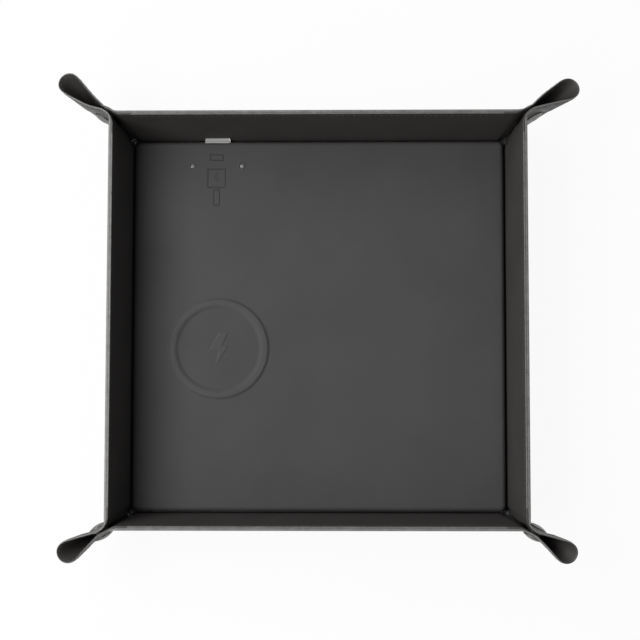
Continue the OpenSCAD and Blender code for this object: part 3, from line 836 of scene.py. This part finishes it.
def ear_matrix(layer, corner):
    """From the frame of one layer at the back right corner to that layer at the named corner."""
    across, back = CORNER_SIGNS[corner]
    ear = Matrix((EAR_OUT, EAR_SIDE, CORNER)).transposed().to_4x4()
    ear.translation = Vector((HINGE_HALF, HINGE_HALF, HINGE_Z))
    return Matrix.Diagonal((across, back, 1, 1)) @ ear @ Matrix.Diagonal((1, layer.sign, 1, 1))


def swayed(bm, layer, corner):
    """Bends an ear's loop a little from the drawn shape, as each corner of soft leather does."""
    further, round_by = EAR_SWAY[corner]
    for v in bm.verts:
        share = smooth((v.co.x - 10) / 16) * clamp(v.co.z / WALL_H)
        v.co.x += further * share
        v.co.y += round_by * share * layer.sign


def ear_meshes(layer):
    """The four slabs of one layer: leather and lining of its fold piece and of its loop half."""

    def fold_place(column, row):
        return fold_point(column, row, layer)

    def loop_place(column, row):
        return loop_point(column, row, layer)

    def thinned(column, row, pair):
        thin = foot_thinning(column, row, layer)
        return pair[0] * thin, pair[1] * thin

    def fold_skin(column, row):
        board = board_share(column, row, layer)
        return thinned(column, row, skin_depths(edge_distance(row), board))

    def fold_cover(column, row):
        board = board_share(column, row, layer)
        return thinned(column, row, lining_depths(edge_distance(row), board))

    def loop_skin(column, row):
        outer, inner = skin_depths(edge_distance(row), 0)
        if column > 1:
            outer, inner = outer - 0.2, inner + 0.12
        return thinned(3, row, (outer, inner))

    def loop_cover(column, row):
        return thinned(3, row, lining_depths(edge_distance(row), 0))

    slabs = {
        "fold_leather": leather_slab(FOLD_COLUMNS, EAR_ROWS, fold_place, fold_skin),
        "fold_cover": leather_slab(FOLD_COLUMNS, EAR_ROWS, fold_place, fold_cover),
        "loop_leather": leather_slab(LOOP_COLUMNS + TONGUE_COLUMNS, EAR_ROWS, loop_place, loop_skin),
        "loop_cover": leather_slab(LOOP_COLUMNS, EAR_ROWS, loop_place, loop_cover),
    }
    stitch_row = 2 - 1.7 / EDGE_BAND
    for key, place, depth in (
        ("fold_leather", fold_place, SKIN_OUT - 0.2),
        ("fold_cover", fold_place, SKIN_IN - LINING_T + 0.2),
        ("loop_leather", loop_place, SKIN_OUT - 0.2),
        ("loop_cover", loop_place, SKIN_IN - LINING_T + 0.2),
    ):
        if key.startswith("fold"):
            add_stitches(slabs[key], place, stitch_row, depth, 2.0, 3.0)
        else:
            add_stitches(slabs[key], place, stitch_row, depth, 0.0, 0.96)
    return slabs


def loop_blend(layer, corner):
    """Start and end of the bend between the fold piece and its loop half."""
    low = ear_point(LOOP_START, 0.7, layer)
    base = ear_point(LOOP_START, 0.1, layer)
    tip = ear_point(EAR_TOTAL, 0.9, layer)
    along = (low - base).normalized()
    across = tip - low
    across -= across.dot(along) * along
    matrix = ear_matrix(layer, corner)
    return (matrix @ low) * MM, (matrix @ (low + across * 0.9)) * MM


def fold_blend(layer, corner):
    """Start and end of the bend between the wall and its pinched layer."""
    wall_way = Vector((-cos(layer.bend), sin(layer.bend), 0))
    start = wall_way * (layer.fold + 2.5) + Vector((0, 0, 20))
    end = Vector((1.2, start.y * 0.35, 20))
    matrix = ear_matrix(layer, corner)
    return (matrix @ start) * MM, (matrix @ end) * MM


def corner_ears():
    for layer in (END, SIDE):
        slabs = ear_meshes(layer)
        for corner in CORNER_SIGNS:
            matrix = ear_matrix(layer, corner)
            for key, slab in slabs.items():
                bm = slab.copy()
                swayed(bm, layer, corner)
                bmesh.ops.transform(bm, matrix=matrix, verts=bm.verts[:])
                if matrix.determinant() < 0:
                    bmesh.ops.reverse_faces(bm, faces=bm.faces[:])
                materials = [LEATHER, LEATHER_RIM_HIGHLIGHT, THREAD]
                if key.endswith("cover"):
                    materials = [WALL_SUEDE, EAR_EDGE, THREAD]
                piece = finished(bm, f"{corner}_{layer.name}_{key}", materials)
                if key.startswith("fold"):
                    start, end = fold_blend(layer, corner)
                    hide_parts(f"{corner}_{layer.name}_flap")
                    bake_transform(piece)
                    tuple(start)
                    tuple(end)
                else:
                    start, end = loop_blend(layer, corner)
                    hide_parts(f"{corner}_{layer.name}_loop")
                    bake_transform(piece)
                    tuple(start)
                    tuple(end)
        for slab in slabs.values():
            slab.free()


# Floor

ROLL_R = 2.5
SKIRT_HALF = BASE_HALF + 0.2
FLAT_HALF = SKIRT_HALF - ROLL_R
FLAT_CORNER_R = BASE_CORNER_R - ROLL_R
MARK = 0.25
MARK_LINE = 0.5
SOFT_EDGE = 1.0


def bolt_outline(width, height):
    shares = [(0.04, 0.5), (0.5, 0.5), (0.14, 0.08), (0.5, 0.08), (-0.14, -0.5), (0.02, -0.06), (-0.5, -0.06)]
    return [Vector((x * width, y * height)) for x, y in shares]


def outline_distance(point, outline):
    """Distance to a closed outline, negative inside it."""
    best = 1e9
    inside = False
    for i, a in enumerate(outline):
        b = outline[(i + 1) % len(outline)]
        way = b - a
        t = clamp((point - a).dot(way) / way.length_squared)
        best = min(best, (point - a - way * t).length)
        if (a.y > point.y) != (b.y > point.y):
            if point.x < a.x + (point.y - a.y) / (b.y - a.y) * (b.x - a.x):
                inside = not inside
    return -best if inside else best


BIG_BOLT = bolt_outline(10.5, 18.2)
SMALL_BOLT = bolt_outline(3.4, 7.2)
TIP_Y = BASE_HALF - 8.8
BODY_Y = BASE_HALF - 20.7
CABLE_Y = BASE_HALF - 31.8
FRAMES = [(TIP_Y, 7.7, 3.6), (BODY_Y, 10.4, 11.0), (CABLE_Y, 3.7, 9.4)]


def frame_distance(point, frame_y, width, height):
    """Distance from the middle of a rectangle's line."""
    dx = abs(point.x - INLET_X) - (width - MARK_LINE) / 2
    dy = abs(point.y - frame_y) - (height - MARK_LINE) / 2
    outside = hypot(max(dx, 0), max(dy, 0))
    return abs(outside + min(max(dx, dy), 0))


def ring_share(point):
    """How far the ring is raised at a point: steep outside and soft towards the middle."""
    out = (point - RING).length
    inner = RING_R - RING_W - 0.6
    return smooth((RING_R - out) / RING_OUTER_SLOPE) * smooth((out - inner) / RING_INNER_SLOPE)


def ring_distance(point):
    """Distance from the nearer of the ring's two sloping sides, 0 on them."""
    out = (point - RING).length
    outer = abs(out - RING_R + RING_OUTER_SLOPE / 2) - RING_OUTER_SLOPE / 2
    inner = abs(out - RING_R + RING_W + 0.6 - RING_INNER_SLOPE / 2) - RING_INNER_SLOPE / 2
    return max(0, min(outer, inner))


def mark_distance(point):
    """Distance from the nearest edge of a pressed or raised mark."""
    best = 1e9
    if (point - RING).length < 14:
        best = abs(outline_distance(point - RING, BIG_BOLT))
    if abs(point.x - INLET_X) < 20 and point.y > 60:
        best = min(best, min(frame_distance(point, *f) for f in FRAMES))
        best = min(best, abs(outline_distance(point - Vector((INLET_X, BODY_Y)), SMALL_BOLT)))
        for side in (-1, 1):
            light = Vector((INLET_X + side * LIGHT_SPREAD, LIGHT_Y))
            best = min(best, abs((point - light).length - LIGHT_R))
    return best


def bolt_share(point):
    """How far the soft bolt in the middle of the ring is raised at a point."""
    if (point - RING).length > 14:
        return 0.0
    return smooth(0.5 - outline_distance(point - RING, BIG_BOLT) / SOFT_EDGE)


def pressed_share(point):
    """How deep the plug pictogram is pressed in at a point."""
    if abs(point.x - INLET_X) > 20 or point.y < 60:
        return 0.0
    lines = max(smooth(1.2 - frame_distance(point, *f) / 0.45) for f in FRAMES)
    small = outline_distance(point - Vector((INLET_X, BODY_Y)), SMALL_BOLT)
    return max(lines, 0.55 * smooth(0.5 - small / 0.9))


def light_collar(point):
    """A soft collar where the lining is pushed up round each status light."""
    height = 0.0
    for side in (-1, 1):
        near = (point - Vector((INLET_X + side * LIGHT_SPREAD, LIGHT_Y))).length
        height += 0.16 * smooth(1 - abs(near - LIGHT_R - 0.35) / 0.5)
    return height


def floor_height(point):
    raised = RING_H * ring_share(point) + MARK * bolt_share(point)
    return FLOOR_Z + raised - MARK * pressed_share(point) + light_collar(point)


def floor_cover():
    """Lining of the floor: the ring and marks in its face, rolled down at the base's edge."""
    bm = bmesh.new()
    tone = bm.verts.layers.float.new("relief")
    cells = 52
    bmesh.ops.create_grid(bm, x_segments=cells, y_segments=cells, size=FLAT_HALF)
    cell = 2 * FLAT_HALF / cells
    corner = FLAT_HALF - FLAT_CORNER_R
    for level in range(4):
        edges = set()
        for face in bm.faces:
            spot = face.calc_center_bounds().to_2d()
            corner_near = min(abs(spot.x), abs(spot.y)) > corner - cell
            marked = mark_distance(spot) < 0.75 * cell + 0.5
            ringed = level < 3 and ring_distance(spot) < 0.75 * cell + 0.2
            if marked or ringed or (corner_near and level < 3):
                edges.update(face.edges)
        bmesh.ops.subdivide_edges(bm, edges=list(edges), cuts=1, use_grid_fill=True)
        cell /= 2
    holes = []
    for face in bm.faces:
        spot = face.calc_center_bounds().to_2d()
        for side in (-1, 1):
            light = Vector((INLET_X + side * LIGHT_SPREAD, LIGHT_Y))
            if (spot - light).length < LIGHT_R:
                holes.append(face)
    bmesh.ops.delete(bm, geom=holes, context="FACES")
    outer = [e for e in bm.edges if e.is_boundary and max(abs(c) for v in e.verts for c in v.co.xy) > 100]
    for v in bm.verts:
        for side in (-1, 1):
            light = Vector((INLET_X + side * LIGHT_SPREAD, LIGHT_Y))
            away = v.co.to_2d() - light
            if v.is_boundary and away.length < 3:
                v.co.xy = light + away.normalized() * LIGHT_R
        near = Vector((max(-corner, min(corner, v.co.x)), max(-corner, min(corner, v.co.y))))
        away = v.co.to_2d() - near
        if away.length > FLAT_CORNER_R:
            v.co.xy = near + away.normalized() * FLAT_CORNER_R
        spot = v.co.to_2d()
        v.co.z = floor_height(spot)
        # Painted light for the floor's suede: positive on the raised ring and bolt for a painted highlight, negative in
        # the pressed marks for painted shade.
        v[tone] = max(0.9 * ring_share(spot), bolt_share(spot)) - pressed_share(spot)
    turns = [radians(a) for a in (15, 30, 45, 60, 75, 90)]
    steps = [(ROLL_R * sin(a), ROLL_R * (1 - cos(a))) for a in turns] + [(ROLL_R, ROLL_R + 2), (ROLL_R, FLOOR_Z - 0.83)]
    rim_before = (0, 0)
    rim = outer
    for out_step, down_step in steps:
        made = bmesh.ops.extrude_edge_only(bm, edges=rim)["geom"]
        rim = [g for g in made if isinstance(g, bmesh.types.BMEdge)]
        for v in [g for g in made if isinstance(g, bmesh.types.BMVert)]:
            near = Vector((max(-corner, min(corner, v.co.x)), max(-corner, min(corner, v.co.y))))
            way = (v.co.to_2d() - near).normalized()
            v.co.xy += way * (out_step - rim_before[0])
            v.co.z -= down_step - rim_before[1]
        rim_before = (out_step, down_step)
    bmesh.ops.recalc_face_normals(bm, faces=bm.faces[:])
    if sum(f.normal.z for f in bm.faces) < 0:
        bmesh.ops.reverse_faces(bm, faces=bm.faces[:])
    for face in bm.faces:
        face.smooth = True
    piece = finished(bm, "floor_cover", [FLOOR_SUEDE_PAINTED_LIGHT], sharp=60)
    wall = piece.modifiers.new("thickness", "SOLIDIFY")
    wall.thickness = LINING_T * MM
    wall.offset = -1
    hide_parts("floor_lining")
    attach(piece, "base")


def status_lenses():
    """Small domes that close the light guides in the floor."""
    for name, side in (("left_status_lens", -1), ("right_status_lens", 1)):
        bm = bmesh.new()
        bmesh.ops.create_uvsphere(bm, u_segments=24, v_segments=12, radius=1.15)
        bmesh.ops.scale(bm, vec=(1, 1, 0.45), verts=bm.verts[:])
        spot = Vector((INLET_X + side * LIGHT_SPREAD, LIGHT_Y, FLOOR_Z - 0.15))
        bmesh.ops.translate(bm, vec=spot, verts=bm.verts[:])
        for face in bm.faces:
            face.smooth = True
        piece = finished(bm, name, [LENS])
        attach(piece, "base")


# Stage

def table_surface():
    """A pale table that shows white to the camera and still takes the tray's shadow."""
    bm = bmesh.new()
    bmesh.ops.create_grid(bm, x_segments=1, y_segments=1, size=3000)
    bmesh.ops.translate(bm, vec=(0, 0, -0.05), verts=bm.verts[:])
    material, shader = new_finish("table_paint", (0.8, 0.8, 0.8), 0.6)
    tree = material.node_tree
    glow = tree.nodes.new("ShaderNodeEmission")
    glow.inputs["Strength"].default_value = 1.0
    path = tree.nodes.new("ShaderNodeLightPath")
    seen = tree.nodes.new("ShaderNodeMath")
    seen.operation = "MAXIMUM"
    through = tree.nodes.new("ShaderNodeMath")
    through.operation = "MAXIMUM"
    share = tree.nodes.new("ShaderNodeMath")
    share.operation = "MULTIPLY"
    share.inputs[1].default_value = 0.93
    mix = tree.nodes.new("ShaderNodeMixShader")
    tree.links.new(path.outputs["Is Camera Ray"], seen.inputs[0])
    tree.links.new(path.outputs["Is Glossy Ray"], seen.inputs[1])
    tree.links.new(seen.outputs[0], through.inputs[0])
    tree.links.new(path.outputs["Is Transmission Ray"], through.inputs[1])
    tree.links.new(through.outputs[0], share.inputs[0])
    tree.links.new(share.outputs[0], mix.inputs["Fac"])
    tree.links.new(shader.outputs["BSDF"], mix.inputs[1])
    tree.links.new(glow.outputs["Emission"], mix.inputs[2])
    tree.links.new(mix.outputs["Shader"], tree.nodes["Material Output"].inputs["Surface"])
    finished(bm, "table_surface", [material])


def soft_lamp(name, place, size, power):
    """A square lamp that faces the middle of the tray. Place and size are in metres."""
    lamp = bpy.data.lights.new(name, "AREA")
    lamp.shape = "SQUARE"
    lamp.size = size
    lamp.energy = power
    holder = bpy.data.objects.new(name, lamp)
    holder.location = place
    holder.rotation_euler = (-Vector(place)).to_track_quat("-Z", "Y").to_euler()
    bpy.context.scene.collection.objects.link(holder)


def lights():
    soft_lamp("left_window", (-0.67, 0.0, 0.94), 0.62, 9.6)
    soft_lamp("back_left_fill", (-0.9, 1.1, 1.1), 0.8, 8)
    soft_lamp("front_left_fill", (-0.9, -1.1, 1.1), 0.8, 5)
    world = bpy.data.worlds.new("studio")
    world.use_nodes = True
    background = world.node_tree.nodes["Background"]
    background.inputs["Color"].default_value = (1, 1, 1, 1)
    background.inputs["Strength"].default_value = 0.3
    bpy.context.scene.world = world


def camera():
    """The photograph's view, from almost straight above."""
    data = bpy.data.cameras.new("camera")
    data.sensor_width = 36
    data.lens = 109.36
    data.clip_start = 0.05
    data.clip_end = 20
    holder = bpy.data.objects.new("camera", data)
    holder.location = (0.025599, -0.10311, 1.092601)
    holder.rotation_euler = Euler((radians(5.567), radians(1.3051), radians(0.0868)), "XYZ")
    bpy.context.scene.collection.objects.link(holder)
    bpy.context.scene.camera = holder


dress_cad_nodes()
base_leather()
corner_gussets()
stiff_base()
for wall_side in ("back", "front", "left", "right"):
    wall_leather(wall_side)
    wall_lining(wall_side)
corner_ears()
floor_cover()
status_lenses()
table_surface()
lights()
camera()
bpy.context.scene.view_settings.view_transform = "Standard"
